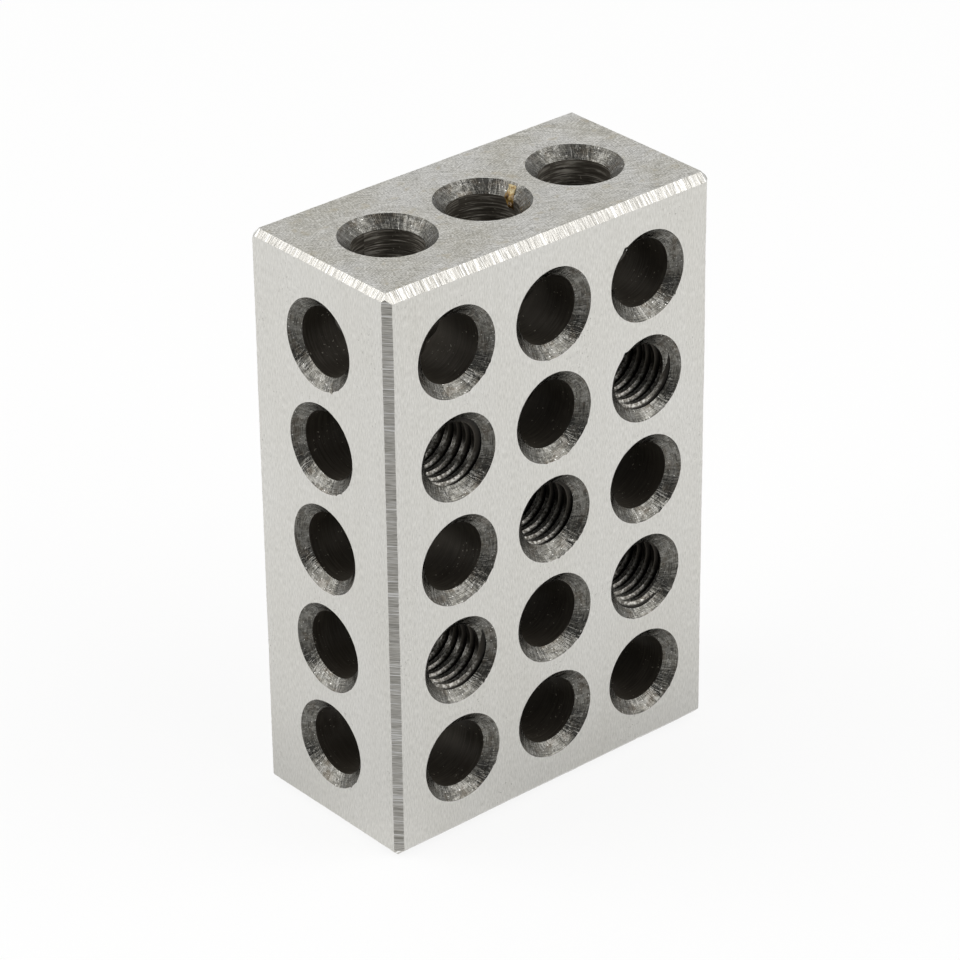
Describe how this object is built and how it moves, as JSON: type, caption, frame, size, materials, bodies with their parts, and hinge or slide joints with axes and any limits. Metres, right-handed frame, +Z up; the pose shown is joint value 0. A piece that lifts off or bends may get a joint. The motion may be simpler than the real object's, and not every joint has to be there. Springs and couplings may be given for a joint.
{
  "type": "machinist setup block",
  "caption": "Ground steel setup block with beveled edges and a grid of countersunk through holes on every side, some of them tapped, that cross inside it.",
  "frame": {"origin": "middle of the small end that the block stands on", "axes": "+X across the broad faces, +Y through the broad faces from front to back, +Z up along the longest side"},
  "size_m": [0.0508, 0.0254, 0.0762],
  "materials": {
    "ground_steel": "ground and lapped, with machined countersinks and bores"
  },
  "bodies": {
    "root": {"setup_block": "ground_steel"}
  },
  "joints": []
}
